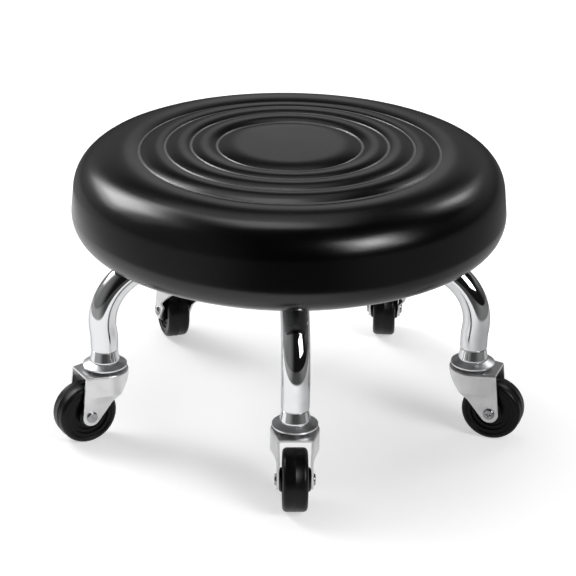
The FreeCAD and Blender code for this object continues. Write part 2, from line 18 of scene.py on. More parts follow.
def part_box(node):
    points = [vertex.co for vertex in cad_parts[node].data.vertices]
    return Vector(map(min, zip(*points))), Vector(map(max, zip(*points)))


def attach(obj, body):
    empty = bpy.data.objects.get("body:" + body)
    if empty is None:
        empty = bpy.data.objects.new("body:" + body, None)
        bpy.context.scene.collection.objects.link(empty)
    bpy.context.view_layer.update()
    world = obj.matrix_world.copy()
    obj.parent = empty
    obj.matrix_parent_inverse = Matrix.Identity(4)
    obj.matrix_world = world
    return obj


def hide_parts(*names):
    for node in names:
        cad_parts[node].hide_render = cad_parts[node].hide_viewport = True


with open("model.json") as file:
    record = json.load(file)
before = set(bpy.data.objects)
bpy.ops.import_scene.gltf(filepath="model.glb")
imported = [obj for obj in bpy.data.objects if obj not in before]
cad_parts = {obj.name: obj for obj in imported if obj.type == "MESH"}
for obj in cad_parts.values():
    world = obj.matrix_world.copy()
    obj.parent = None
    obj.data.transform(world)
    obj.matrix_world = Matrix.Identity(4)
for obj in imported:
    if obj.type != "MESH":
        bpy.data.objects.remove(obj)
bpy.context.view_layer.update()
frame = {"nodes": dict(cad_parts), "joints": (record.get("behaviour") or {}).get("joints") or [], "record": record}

LOG = logging.getLogger("stool")
FULL_TURN = 2 * math.pi
QUARTER_TURN = math.pi / 2
MERGE_DISTANCE = 1e-6
NOISE_MIDDLE = 0.5
EVEN = (1.0, 1.0, 1.0)
LAMP_ENERGY_PER_RADIANCE = 4.0

# Places of a colour Mix node's sockets
MIX_SHARE, MIX_FIRST, MIX_SECOND, MIX_RESULT = 0, 6, 7, 2

Triple = tuple[float, float, float]
Colour = Triple
Step = tuple[float, float]


class Place(Enum):
    """Where a leg and its caster stand."""

    FRONT = "front"
    RIGHT = "right"
    BACK_RIGHT = "back_right"
    BACK_LEFT = "back_left"
    LEFT = "left"


# Shader sheets

@dataclass(frozen=True)
class Grain:
    """Soft noise: how fine it is, the step that makes patches of it, and its stretch."""

    per_metre: float
    detail: float
    patch: Step = (0.0, 1.0)
    stretch: Triple = EVEN


class Field:
    """A number that varies over a surface. Python operators on it add Math nodes."""

    def __init__(self, sheet: "Sheet", socket: bpy.types.NodeSocket) -> None:
        """Wraps one output socket of a sheet."""
        self.sheet = sheet
        self.socket = socket

    def _math(self, operation: str, *values: "Number") -> "Field":
        """Adds a Math node.

        Args:
            operation: the node's operation.
            values: its inputs in order, as numbers or fields.

        Returns:
            The node's result.
        """
        sockets = dict(enumerate(values))
        made = self.sheet.node("ShaderNodeMath", {"operation": operation}, sockets)
        return Field(self.sheet, made.outputs[0])

    def __add__(self, other: "Number") -> "Field":
        """This plus another value."""
        return self._math("ADD", self, other)

    def __radd__(self, other: "Number") -> "Field":
        """Another value plus this."""
        return self._math("ADD", other, self)

    def __sub__(self, other: "Number") -> "Field":
        """This minus another value."""
        return self._math("SUBTRACT", self, other)

    def __rsub__(self, other: "Number") -> "Field":
        """Another value minus this."""
        return self._math("SUBTRACT", other, self)

    def __mul__(self, other: "Number") -> "Field":
        """This times another value."""
        return self._math("MULTIPLY", self, other)

    def __rmul__(self, other: "Number") -> "Field":
        """Another value times this."""
        return self._math("MULTIPLY", other, self)

    def __pow__(self, power: "Number") -> "Field":
        """This to a power."""
        return self._math("POWER", self, power)

    def at_most(self, limit: "Number") -> "Field":
        """The smaller of this and a limit."""
        return self._math("MINIMUM", self, limit)

    def to_nearest(self, pitch: float) -> "Field":
        """How far this is from the nearest whole number of pitches."""
        return self._math("PINGPONG", self, pitch / 2)

    def length_with(self, other: "Field") -> "Field":
        """The length of a vector with this and another value as its two parts."""
        return (self * self + other * other) ** 0.5

    def rise(self, low: float, high: float) -> "Field":
        """A smooth step of this value.

        Args:
            low: where the step starts, at 0.
            high: where it ends, at 1.

        Returns:
            The step, from 0 to 1.
        """
        settings = {"interpolation_type": "SMOOTHSTEP"}
        sockets = {"Value": self, "From Min": low, "From Max": high}
        made = self.sheet.node("ShaderNodeMapRange", settings, sockets)
        return Field(self.sheet, made.outputs["Result"])


Number = Union[Field, float]
Tint = Union[bpy.types.NodeSocket, Colour]


class Sheet:
    """The nodes of one finish or of the world."""

    def __init__(self, tree: bpy.types.NodeTree) -> None:
        """Starts with an empty tree."""
        self.tree = tree
        self.tree.nodes.clear()

    def node(self, kind: str, settings: Mapping[str, Any],
             sockets: Mapping[Any, Any]) -> bpy.types.Node:
        """Adds one node.

        Args:
            kind: the node's type.
            settings: its properties, which are set first.
            sockets: values, fields or sockets for its inputs, by name or place.

        Returns:
            The node.
        """
        made = self.tree.nodes.new(kind)
        for name, value in settings.items():
            setattr(made, name, value)
        for key, value in sockets.items():
            if isinstance(value, Field):
                self.tree.links.new(value.socket, made.inputs[key])
            elif isinstance(value, bpy.types.NodeSocket):
                self.tree.links.new(value, made.inputs[key])
            else:
                made.inputs[key].default_value = value
        return made

    def place(self) -> bpy.types.NodeSocket:
        """Object coordinates, which are places in the part's frame at rest."""
        return self.node("ShaderNodeTexCoord", {}, {}).outputs["Object"]

    def noise(self, place: bpy.types.NodeSocket, grain: Grain) -> Field:
        """Soft noise about its middle.

        Args:
            place: coordinates in metres.
            grain: how fine and how stretched the noise is.

        Returns:
            A value from 0 to 1.
        """
        if grain.stretch != EVEN:
            sockets = {"Vector": place, "Scale": grain.stretch}
            place = self.node("ShaderNodeMapping", {}, sockets).outputs["Vector"]
        sockets = {"Vector": place, "Scale": grain.per_metre, "Detail": grain.detail}
        return Field(self, self.node("ShaderNodeTexNoise", {}, sockets).outputs[0])

    def patches(self, place: bpy.types.NodeSocket, grain: Grain) -> Field:
        """Soft patches, from 0 between them to 1 inside them."""
        return self.noise(place, grain).rise(*grain.patch)

    def cells(self, place: bpy.types.NodeSocket, per_metre: float, softness: float) -> Field:
        """Distance to the nearest of scattered points.

        Args:
            place: coordinates in metres.
            per_metre: how many cells a metre holds.
            softness: how far neighbouring cells flow together.

        Returns:
            A value that is 0 at a cell's middle.
        """
        settings = {"feature": "SMOOTH_F1"}
        sockets = {"Vector": place, "Scale": per_metre, "Smoothness": softness}
        made = self.node("ShaderNodeTexVoronoi", settings, sockets)
        return Field(self, made.outputs["Distance"])

    def parts(self, vector: bpy.types.NodeSocket) -> tuple[Field, Field, Field]:
        """The X, Y and Z of a vector as fields."""
        made = self.node("ShaderNodeSeparateXYZ", {}, {"Vector": vector})
        return tuple(Field(self, socket) for socket in made.outputs)

    def joined(self, x: Number, y: Number, z: Number) -> bpy.types.NodeSocket:
        """A vector of three numbers."""
        return self.node("ShaderNodeCombineXYZ", {}, {0: x, 1: y, 2: z}).outputs[0]

    def mixed(self, share: Number, first: Tint, second: Tint) -> bpy.types.NodeSocket:
        """A colour between two.

        Args:
            share: 0 for the first colour, 1 for the second.
            first: linear red, green and blue, or a colour's socket.
            second: linear red, green and blue, or a colour's socket.

        Returns:
            The colour's socket.
        """
        sockets = {MIX_SHARE: share}
        for key, tint in ((MIX_FIRST, first), (MIX_SECOND, second)):
            sockets[key] = tint if isinstance(tint, bpy.types.NodeSocket) else (*tint, 1.0)
        made = self.node("ShaderNodeMix", {"data_type": "RGBA"}, sockets)
        return made.outputs[MIX_RESULT]

    def bump(self, height: Field, depth: float) -> bpy.types.NodeSocket:
        """A normal from a height.

        Args:
            height: the height, from 0 to 1.
            depth: what a height of 1 measures, in metres.

        Returns:
            The normal's socket.
        """
        sockets = {"Strength": 1.0, "Distance": depth, "Height": height}
        return self.node("ShaderNodeBump", {}, sockets).outputs["Normal"]


# Finishes

@dataclass(frozen=True)
class Finish:
    """What every surface finish has: a name and the making of its material."""

    name: str

    def material(self) -> bpy.types.Material:
        """Makes the finish's material.

        Returns:
            A new material with the finish's nodes.
        """
        made = bpy.data.materials.new(self.name)
        made.use_nodes = True
        sheet = Sheet(made.node_tree)
        shader = sheet.node("ShaderNodeBsdfPrincipled", {}, self.sockets(sheet, sheet.place()))
        sheet.node("ShaderNodeOutputMaterial", {}, {"Surface": shader.outputs[0]})
        return made

    def sockets(self, sheet: Sheet, place: bpy.types.NodeSocket) -> Mapping[str, Any]:
        """What goes into the surface shader.

        Args:
            sheet: the sheet that the nodes are added to.
            place: coordinates on the surface, in metres.

        Returns:
            Values and sockets by the shader's input names.
        """
        raise NotImplementedError


@dataclass(frozen=True)
class BlackVinyl(Finish):
    """Semi-gloss black upholstery vinyl with a fine pressed grain and pale pressed lines, partly painted
    highlight.
    """

    name: str = "seat_black_vinyl"
    colour: Colour = (0.0008, 0.0008, 0.0009)
    worn_colour: Colour = (0.0014, 0.0014, 0.0015)
    index: float = 1.50
    roughness: float = 0.22
    roughness_spread: float = 0.07
    pebble_per_metre: float = 780.0
    pebble_softness: float = 0.55
    pebble_share: float = 0.72
    pebble_middle: float = 0.6
    pebble_roughness: float = 0.06
    pores: Grain = Grain(2600.0, 2.0)
    rub: Grain = Grain(21.0, 4.0, (0.35, 0.75))
    grain_depth: float = 0.000022
    # colour of the pressed lines: partly the vinyl's pale weld line, partly a painted highlight of the creases'
    # lips
    line_highlight_colour: Colour = (0.120, 0.120, 0.122)
    line_radius: float = 0.05865
    line_pitch: float = 0.02095
    line_count: int = 4
    line_half_width: float = 0.0010
    line_fade: Step = (0.7, 1.4)
    inner_end: Step = (-0.006, -0.005)
    outer_end: float = 0.001
    above: Step = (0.200, 0.201)

    def pressed_lines(self, sheet: Sheet, place: bpy.types.NodeSocket) -> Field:
        """Where the hot press left its rings on the seat's top; their pale colour is partly a painted highlight.

        Args:
            sheet: the sheet that the nodes are added to.
            place: coordinates on the surface, in metres.

        Returns:
            A value from 0 to 1.
        """
        x, y, z = sheet.parts(place)
        out = x.length_with(y) - self.line_radius
        reach = (self.line_count - 0.5) * self.line_pitch
        ringed = out.rise(*self.inner_end) * (1.0 - out.rise(reach - self.outer_end, reach))
        start, end = (share * self.line_half_width for share in self.line_fade)
        away = out.to_nearest(self.line_pitch).rise(start, end)
        return ringed * z.rise(*self.above) * (1.0 - away)

    def sockets(self, sheet: Sheet, place: bpy.types.NodeSocket) -> Mapping[str, Any]:
        """Pebbled grain with fine pores, uneven gloss and a faint rub.

        Args:
            sheet: the sheet that the nodes are added to.
            place: coordinates on the surface, in metres.

        Returns:
            Values and sockets by the shader's input names.
        """
        pebbles = 1.0 - sheet.cells(place, self.pebble_per_metre, self.pebble_softness)
        pores = sheet.noise(place, self.pores)
        rub = sheet.noise(place, self.rub)
        height = self.pebble_share * pebbles + (1.0 - self.pebble_share) * pores
        gloss = self.roughness + self.roughness_spread * (rub - NOISE_MIDDLE)
        skin = sheet.mixed(rub.rise(*self.rub.patch), self.colour, self.worn_colour)
        # pale lines on the creases: partly the vinyl's weld line, partly a painted highlight of the lips
        lines = self.pressed_lines(sheet, place)
        return {"Base Color": sheet.mixed(lines, skin, self.line_highlight_colour),
                "Roughness": gloss + self.pebble_roughness * (self.pebble_middle - pebbles),
                "IOR": self.index, "Normal": sheet.bump(height, self.grain_depth)}


@dataclass(frozen=True)
class PolishedChrome(Finish):
    """Bright chrome plate over polished steel, with faint hand marks."""

    name: str = "polished_chrome"
    colour: Colour = (0.80, 0.805, 0.815)
    dull_colour: Colour = (0.74, 0.745, 0.76)
    edge_colour: Colour = (0.55, 0.55, 0.56)
    roughness: float = 0.035
    smears: Grain = Grain(34.0, 5.0, (0.48, 0.78))
    smear_share: float = 0.7
    smear_roughness: float = 0.06
    specks: Grain = Grain(900.0, 2.0, (0.62, 0.80))
    speck_roughness: float = 0.03
    ripple: Grain = Grain(55.0, 1.0)
    ripple_depth: float = 0.00002

    def sockets(self, sheet: Sheet, place: bpy.types.NodeSocket) -> Mapping[str, Any]:
        """A mirror with soft smears and the slight ripple of polished tube.

        Args:
            sheet: the sheet that the nodes are added to.
            place: coordinates on the surface, in metres.

        Returns:
            Values and sockets by the shader's input names.
        """
        smears = sheet.patches(place, self.smears)
        specks = sheet.patches(place, self.specks)
        dull = self.smear_share * smears + (1.0 - self.smear_share) * specks
        gloss = self.roughness + self.smear_roughness * smears + self.speck_roughness * specks
        ripple = sheet.noise(place, self.ripple)
        return {"Base Color": sheet.mixed(dull, self.colour, self.dull_colour),
                "Metallic": 1.0, "Roughness": gloss, "Specular Tint": (*self.edge_colour, 1.0),
                "Normal": sheet.bump(ripple, self.ripple_depth)}


@dataclass(frozen=True)
class TurnedChrome(PolishedChrome):
    """Softer chrome on a turned cap, with fine rings about its own stem."""

    name: str = "turned_chrome"
    centre: tuple[float, float] = (0.0, 0.0)
    roughness: float = 0.36
    smear_share: float = 0.6
    rings: Grain = Grain(2600.0, 2.0)
    ring_roughness: float = 0.08
    ring_depth: float = 0.000010

    def sockets(self, sheet: Sheet, place: bpy.types.NodeSocket) -> Mapping[str, Any]:
        """The chrome's smears over the rings that the lathe left.

        Args:
            sheet: the sheet that the nodes are added to.
            place: coordinates on the surface, in metres.

        Returns:
            Values and sockets by the shader's input names.
        """
        x, y, _ = sheet.parts(place)
        out = (x - self.centre[0]).length_with(y - self.centre[1])
        rings = sheet.noise(sheet.joined(out, 0.0, 0.0), self.rings)
        smears = sheet.patches(place, self.smears)
        dull = self.smear_share * smears + (1.0 - self.smear_share) * rings
        gloss = self.roughness + self.smear_roughness * smears
        return {"Base Color": sheet.mixed(dull, self.colour, self.dull_colour), "Metallic": 1.0,
                "Roughness": gloss + self.ring_roughness * (rings - NOISE_MIDDLE),
                "Specular Tint": (*self.edge_colour, 1.0),
                "Normal": sheet.bump(rings, self.ring_depth)}


@dataclass(frozen=True)
class RimmedPlate(Finish):
    """The plate under the seat: a bright rim round a black underside, whose black is painted shade."""

    name: str = "rimmed_plate"
    colour: Colour = (0.80, 0.805, 0.815)
    roughness: float = 0.035
    # black of the underside: painted shade, so mirrors see darkness under the seat
    underside_shade_colour: Colour = (0.006, 0.006, 0.0065)
    enamel_roughness: float = 0.42
    rim: Step = (0.1505, 0.1510)
    bottom: float = 0.0
    above: Step = (0.0004, 0.0010)
    clouds: Grain = Grain(90.0, 4.0)
    cloud_roughness: float = 0.14
    peel: Grain = Grain(700.0, 2.0)
    peel_depth: float = 0.00002

    def sockets(self, sheet: Sheet, place: bpy.types.NodeSocket) -> Mapping[str, Any]:
        """Chrome outside the rim's line; inside it, black painted shade with a slight orange peel.

        Args:
            sheet: the sheet that the nodes are added to.
            place: coordinates on the surface, in metres.

        Returns:
            Values and sockets by the shader's input names.
        """
        x, y, z = sheet.parts(place)
        rim = x.length_with(y).rise(*self.rim) * (z - self.bottom).rise(*self.above)
        clouds = sheet.noise(place, self.clouds)
        gloss = self.enamel_roughness + self.cloud_roughness * (clouds - NOISE_MIDDLE)
        peel = sheet.noise(place, self.peel)
        # inside the rim: black painted shade, which the caps and legs mirror from under the seat
        return {"Base Color": sheet.mixed(rim, self.underside_shade_colour, self.colour),
                "Metallic": rim, "Roughness": gloss + (self.roughness - gloss) * rim,
                "Normal": sheet.bump(peel, self.peel_depth)}


@dataclass(frozen=True)
class BrightNickel(Finish):
    """Satin nickel on pressed sheet: softer than chrome, with faint drawing lines."""

    name: str = "bright_nickel"
    colour: Colour = (0.78, 0.78, 0.785)
    dull_colour: Colour = (0.66, 0.66, 0.665)
    roughness: float = 0.35
    clouds: Grain = Grain(60.0, 4.0, (0.40, 0.80))
    cloud_roughness: float = 0.06
    lines: Grain = Grain(1.0, 2.0, stretch=(1500.0, 1500.0, 40.0))
    line_roughness: float = 0.05
    line_depth: float = 0.000006

    def sockets(self, sheet: Sheet, place: bpy.types.NodeSocket) -> Mapping[str, Any]:
        """Upright drawing lines over a soft cloudy gloss.

        Args:
            sheet: the sheet that the nodes are added to.
            place: coordinates on the surface, in metres.

        Returns:
            Values and sockets by the shader's input names.
        """
        lines = sheet.noise(place, self.lines)
        clouds = sheet.patches(place, self.clouds)
        gloss = self.roughness + self.cloud_roughness * clouds
        return {"Base Color": sheet.mixed(clouds, self.colour, self.dull_colour),
                "Metallic": 1.0,
                "Roughness": gloss + self.line_roughness * (lines - NOISE_MIDDLE),
                "Normal": sheet.bump(lines, self.line_depth)}


@dataclass(frozen=True)
class PlainSteel(Finish):
    """Zinc-plated steel of the hidden fasteners, stems and balls."""

    name: str = "plain_steel"
    colour: Colour = (0.56, 0.565, 0.58)
    dull_colour: Colour = (0.40, 0.40, 0.41)
    roughness: float = 0.28
    clouds: Grain = Grain(240.0, 4.0, (0.35, 0.75))
    cloud_roughness: float = 0.16
    marks: Grain = Grain(1.0, 1.0, stretch=(300.0, 300.0, 4000.0))
    mark_depth: float = 0.000008

    def sockets(self, sheet: Sheet, place: bpy.types.NodeSocket) -> Mapping[str, Any]:
        """Cloudy plating with fine tool marks.

        Args:
            sheet: the sheet that the nodes are added to.
            place: coordinates on the surface, in metres.

        Returns:
            Values and sockets by the shader's input names.
        """
        clouds = sheet.noise(place, self.clouds)
        dull = clouds.rise(*self.clouds.patch)
        marks = sheet.noise(place, self.marks)
        return {"Base Color": sheet.mixed(dull, self.colour, self.dull_colour), "Metallic": 1.0,
                "Roughness": self.roughness + self.cloud_roughness * (clouds - NOISE_MIDDLE),
                "Normal": sheet.bump(marks, self.mark_depth)}


@dataclass(frozen=True)
class HeadSteel(PlainSteel):
    """Dark bright-drawn steel of the axle's heads, smoother than the hidden steel."""

    name: str = "head_steel"
    colour: Colour = (0.42, 0.42, 0.43)
    dull_colour: Colour = (0.26, 0.26, 0.27)
    roughness: float = 0.20


@dataclass(frozen=True)
class BlackMoulding(Finish):
    """A black moulded surface with a fine skin and paler patches where it is used."""

    colour: Colour
    used_colour: Colour
    roughness: float
    index: float
    used: Grain
    used_roughness: float
    skin: Grain
    skin_roughness: float
    skin_depth: float

    def sockets(self, sheet: Sheet, place: bpy.types.NodeSocket) -> Mapping[str, Any]:
        """The mould's fine texture, with soft patches of wear.

        Args:
            sheet: the sheet that the nodes are added to.
            place: coordinates on the surface, in metres.

        Returns:
            Values and sockets by the shader's input names.
        """
        used = sheet.patches(place, self.used)
        skin = sheet.noise(place, self.skin)
        gloss = self.roughness + self.used_roughness * used
        return {"Base Color": sheet.mixed(used, self.colour, self.used_colour),
                "Roughness": gloss + self.skin_roughness * (skin - NOISE_MIDDLE),
                "IOR": self.index, "Normal": sheet.bump(skin, self.skin_depth)}


@dataclass(frozen=True)
class TreadRubber(BlackMoulding):
    """Black moulded rubber with a soft sheen and a trace of floor dust."""

    name: str = "tread_rubber"
    colour: Colour = (0.0035, 0.0035, 0.0037)
    used_colour: Colour = (0.0085, 0.0083, 0.0080)
    roughness: float = 0.33
    index: float = 1.30
    used: Grain = Grain(120.0, 5.0, (0.50, 0.80))
    used_roughness: float = 0.16
    skin: Grain = Grain(1900.0, 3.0)
    skin_roughness: float = 0.10
    skin_depth: float = 0.00003


@dataclass(frozen=True)
class CorePlastic(BlackMoulding):
    """Hard black plastic of the wheel's middle, with faint scuffs."""

    name: str = "core_plastic"
    colour: Colour = (0.0030, 0.0030, 0.0032)
    used_colour: Colour = (0.0075, 0.0075, 0.0075)
    roughness: float = 0.32
    index: float = 1.28
    used: Grain = Grain(160.0, 5.0, (0.52, 0.82))
    used_roughness: float = 0.12
    skin: Grain = Grain(2600.0, 2.0)
    skin_roughness: float = 0.08
    skin_depth: float = 0.00002


@dataclass(frozen=True)
class Plywood(Finish):
    """Pale birch plywood of the seat's board."""

    name: str = "birch_plywood"
    colour: Colour = (0.52, 0.37, 0.22)
    grain_colour: Colour = (0.36, 0.23, 0.12)
    roughness: float = 0.62
    grain: Grain = Grain(1.0, 5.0, (0.38, 0.68), (9.0, 160.0, 160.0))
    fibres: Grain = Grain(1.0, 2.0, stretch=(60.0, 1800.0, 1800.0))
    fibre_roughness: float = 0.12
    fibre_depth: float = 0.00006

    def sockets(self, sheet: Sheet, place: bpy.types.NodeSocket) -> Mapping[str, Any]:
        """Long grain along X, with fine fibres.

        Args:
            sheet: the sheet that the nodes are added to.
            place: coordinates on the surface, in metres.

        Returns:
            Values and sockets by the shader's input names.
        """
        grain = sheet.patches(place, self.grain)
        fibres = sheet.noise(place, self.fibres)
        return {"Base Color": sheet.mixed(grain, self.colour, self.grain_colour),
                "Roughness": self.roughness + self.fibre_roughness * (fibres - NOISE_MIDDLE),
                "Normal": sheet.bump(fibres, self.fibre_depth)}


# Turned shapes

class Outline:
    """A chain of vertices in the X-Z plane that is drawn with operators and turned about Z."""

    def __init__(self, r: float, z: float) -> None:
        """Starts the chain at a radius and a height."""
        self.mesh = bmesh.new()
        self.tip = bmesh.ops.create_vert(self.mesh, co=(r, 0.0, z))["vert"][0]

    def line(self, r: float, z: float, steps: int = 1) -> None:
        """Draws a straight run.

        Args:
            r: radius of its end.
            z: height of its end.
            steps: how many edges it has.
        """
        start = self.tip.co.copy()
        end = Vector((r, 0.0, z))
        for step in range(1, steps + 1):
            self.tip = bmesh.ops.extrude_vert_indiv(self.mesh, verts=[self.tip])["verts"][0]
            self.tip.co = start.lerp(end, step / steps)

    def arc(self, r: float, z: float, swing: float, steps: int) -> None:
        """Swings the tip about a centre.

        Args:
            r: radius of the centre.
            z: height of the centre.
            swing: the turn, counted from +X towards +Z.
            steps: how many edges the arc has.
        """
        made = bmesh.ops.spin(self.mesh, geom=[self.tip], cent=(r, 0.0, z), axis=(0.0, 1.0, 0.0),
                              angle=-swing, steps=steps, use_merge=False)
        ends = made["geom_last"]
        self.tip = next(item for item in ends if isinstance(item, bmesh.types.BMVert))

    def turned(self, steps: int) -> bmesh.types.BMesh:
        """Spins the chain once round Z.

        Args:
            steps: how many sides the turned shape has.

        Returns:
            The closed shape, its faces pointing outwards.
        """
        chain = [*self.mesh.verts, *self.mesh.edges]
        bmesh.ops.spin(self.mesh, geom=chain, cent=(0.0, 0.0, 0.0), axis=(0.0, 0.0, 1.0),
                       angle=FULL_TURN, steps=steps, use_merge=True)
        bmesh.ops.remove_doubles(self.mesh, verts=self.mesh.verts, dist=MERGE_DISTANCE)
        bmesh.ops.dissolve_degenerate(self.mesh, dist=MERGE_DISTANCE, edges=self.mesh.edges)
        bmesh.ops.recalc_face_normals(self.mesh, faces=self.mesh.faces)
        return self.mesh


def as_piece(name: str, shape: bmesh.types.BMesh,
             finish: bpy.types.Material) -> bpy.types.Object:
    """Makes a smooth object of a shape.

    Args:
        name: the piece's name.
        shape: its mesh, which is used up.
        finish: its material.

    Returns:
        The object, at the origin, with its place in its mesh.
    """
    data = bpy.data.meshes.new(name)
    for face in shape.faces:
        face.smooth = True
    shape.to_mesh(data)
    shape.free()
    data.materials.append(finish)
    piece = bpy.data.objects.new(name, data)
    bpy.context.scene.collection.objects.link(piece)
    return piece


def dress(nodes: Iterable[str], finish: bpy.types.Material) -> None:
    """Gives CAD nodes a finish.

    Args:
        nodes: the nodes' names.
        finish: the material for all their faces.
    """
    for name in nodes:
        for slot in frame["nodes"][name].material_slots:
            slot.material = finish
        LOG.info("dressed %s in %s", name, finish.name)


# Seat

@dataclass(frozen=True)
class Round:
    """One arc of the seat's outline: a swell has a bulge of 1 and a hollow one of -1."""

    r: float
    z: float
    radius: float
    steps: int
    bulge: int = 1

    @classmethod
    def through(cls, first: Vector, second: Vector, radius: float, steps: int) -> "Round":
        """The swell that passes through two points of the outline.

        Args:
            first: radius and height of the inner point.
            second: radius and height of the outer point.
            radius: the swell's own radius.
            steps: how many edges it has.

        Returns:
            The swell.
        """
        run = second - first
        sink = math.sqrt(radius * radius - run.length_squared / 4)
        centre = (first + second) / 2 - sink * Vector((-run.y, run.x)) / run.length
        return cls(centre.x, centre.y, radius, steps)

    def inside(self, r: float, radius: float, steps: int) -> "Round":
        """A smaller round that touches this swell from inside.

        Args:
            r: the seat's radius at which its centre lies.
            radius: its own radius.
            steps: how many edges it has.

        Returns:
            The smaller round.
        """
        reach = self.radius - radius
        across = r - self.r
        return Round(r, self.z + math.sqrt(reach * reach - across * across), radius, steps)

    def hollow_to(self, other: "Round", radius: float, steps: int) -> "Round":
        """The small hollow that touches this swell and the next one.

        Args:
            other: the next swell, of the same radius.
            radius: the hollow's radius.
            steps: how many edges it has.

        Returns:
            The hollow.
        """
        reach = self.radius + radius
        gap = Vector((other.r - self.r, other.z - self.z))
        lift = math.sqrt(reach * reach - gap.length_squared / 4)
        middle = Vector((self.r + other.r, self.z + other.z)) / 2
        centre = middle + lift * Vector((-gap.y, gap.x)) / gap.length
        return Round(centre.x, centre.y, radius, steps, -1)

    def meets(self, other: "Round") -> tuple[float, float]:
        """Where this round goes over into the next one.

        Args:
            other: the next round, which touches this one.

        Returns:
            The angle at which this round ends and the one at which the next starts.
        """
        gap = Vector((other.r - self.r, other.z - self.z))
        heading = math.atan2(gap.y, gap.x)
        if self.bulge != other.bulge:
            return heading, heading + math.pi
        step = (self.radius - other.radius) / gap.length
        normal = heading + math.acos(max(-1.0, min(1.0, step)))
        return normal, normal


@dataclass
class Seat:
    """The padded seat: a vinyl cushion with pressed rings, its board and its fasteners."""

    radius: float = 0.17675
    band_width: float = 0.05525
    band_radius: float = 0.063
    band_crest_out: float = 0.013
    shoulder_radius: float = 0.030
    shoulder_inset: float = 0.0018
    lower_radius: float = 0.024
    ring_count: int = 3
    ring_pitch: float = 0.02095
    ring_radius: float = 0.029
    disc_edge_width: float = 0.0187
    disc_edge_drop: float = 0.0024
    crown_radius: float = 0.220
    crown_crest_out: float = 0.0203
    lip_radius: float = 0.0012
    groove_radius: float = 0.0008
    groove_steepness: float = 50.0
    hem_width: float = 0.029
    clearance: float = 0.0003
    sides: int = 320
    swell_steps: int = 14
    lip_steps: int = 6
    edge_steps: int = 20
    join_steps: int = 2
    hem_steps: int = 3
    unevenness: float = 0.00022
    unevenness_per_metre: float = 19.0

    def pressed_lines(self, top: float) -> list[Vector]:
        """Where the pressed lines lie on the crown.

        Args:
            top: height of the middle disc.

        Returns:
            Radius and height of each line, from the disc out.
        """
        first = self.radius - self.band_width - self.ring_count * self.ring_pitch
        places = []
        for index in range(self.ring_count + 1):
            out = index * self.ring_pitch
            rise = out * (2 * self.crown_crest_out - out) / (2 * self.crown_radius)
            places.append(Vector((first + out, top - self.disc_edge_drop + rise)))
        return places

    def swells(self, top: float) -> list[Round]:
        """The broad swells: the disc's edge, the rings and the outer band.

        Args:
            top: height of the middle disc.

        Returns:
            The swells from the middle out.
        """
        places = self.pressed_lines(top)
        width, drop = self.disc_edge_width, self.disc_edge_drop
        edge_radius = (width ** 2 / drop + drop) / 2
        found = [Round(places[0].x - width, top - edge_radius, edge_radius, self.swell_steps)]
        for first, second in zip(places, places[1:]):
            found.append(Round.through(first, second, self.ring_radius, self.swell_steps))
        sink = math.sqrt(self.band_radius ** 2 - self.band_crest_out ** 2)
        found.append(Round(places[-1].x + self.band_crest_out, places[-1].y - sink,
                           self.band_radius, self.swell_steps))
        return found

    def rounds(self, top: float, bottom: float) -> list[Round]:
        """The arcs of the outline from the middle disc out and down.

        Args:
            top: height of the middle disc.
            bottom: height of the underside.

        Returns:
            Swells, lips and hollows in order.
        """
        swells = self.swells(top)
        chain = swells[:1]
        steepness = math.radians(self.groove_steepness)
        half = (self.lip_radius + self.groove_radius) * math.sin(steepness)
        for line, inner, outer in zip(self.pressed_lines(top), swells, swells[1:]):
            inner_lip = inner.inside(line.x - half, self.lip_radius, self.lip_steps)
            outer_lip = outer.inside(line.x + half, self.lip_radius, self.lip_steps)
            groove = inner_lip.hollow_to(outer_lip, self.groove_radius, self.lip_steps)
            chain += [inner_lip, groove, outer_lip, outer]
        shoulder_r = self.radius - self.shoulder_inset - self.shoulder_radius
        chain.append(swells[-1].inside(shoulder_r, self.shoulder_radius, self.edge_steps))
        chain.append(Round(self.radius - self.lower_radius, bottom + self.lower_radius,
                           self.lower_radius, self.edge_steps))
        return chain

    def cushion_shape(self) -> bmesh.types.BMesh:
        """The cover and its foam as one closed swell, with room for the board.

        Returns:
            The cushion's mesh.
        """
        low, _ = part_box("seat_cover")
        board_low, board_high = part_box("seat_board")
        mounts = frame["record"]["mounts"]
        top = next(mount["pos_m"][2] for mount in mounts if mount["name"] == "seat_top")
        rounds = self.rounds(top, low.z)
        meetings = [first.meets(second) for first, second in zip(rounds, rounds[1:])]
        starts = [QUARTER_TURN] + [start for _, start in meetings]
        ends = [end for end, _ in meetings] + [-QUARTER_TURN]
        outline = Outline(0.0, top)
        outline.line(rounds[0].r, top, self.swell_steps)
        for item, start, end in zip(rounds, starts, ends):
            outline.line(item.r + item.radius * math.cos(start),
                         item.z + item.radius * math.sin(start), self.join_steps)
            outline.arc(item.r, item.z, math.remainder(end - start, FULL_TURN), item.steps)
        board_edge = board_high.x + self.clearance
        hem_edge = board_high.x - self.hem_width
        outline.line(hem_edge, low.z, self.hem_steps)
        outline.line(hem_edge, board_low.z)
        outline.line(board_edge, board_low.z)
        outline.line(board_edge, board_high.z + self.clearance)
        outline.line(0.0, board_high.z + self.clearance)
        return outline.turned(self.sides)

    def made_uneven(self, shape: bmesh.types.BMesh) -> None:
        """Moves the cover's skin in and out a little, as stretched vinyl over foam lies.

        Args:
            shape: the cushion's mesh, with its normals up to date.
        """
        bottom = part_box("seat_board")[1].z
        for vertex in shape.verts:
            if vertex.co.z > bottom:
                wave = noise.noise(vertex.co * self.unevenness_per_metre)
                vertex.co += vertex.normal * (wave * self.unevenness)

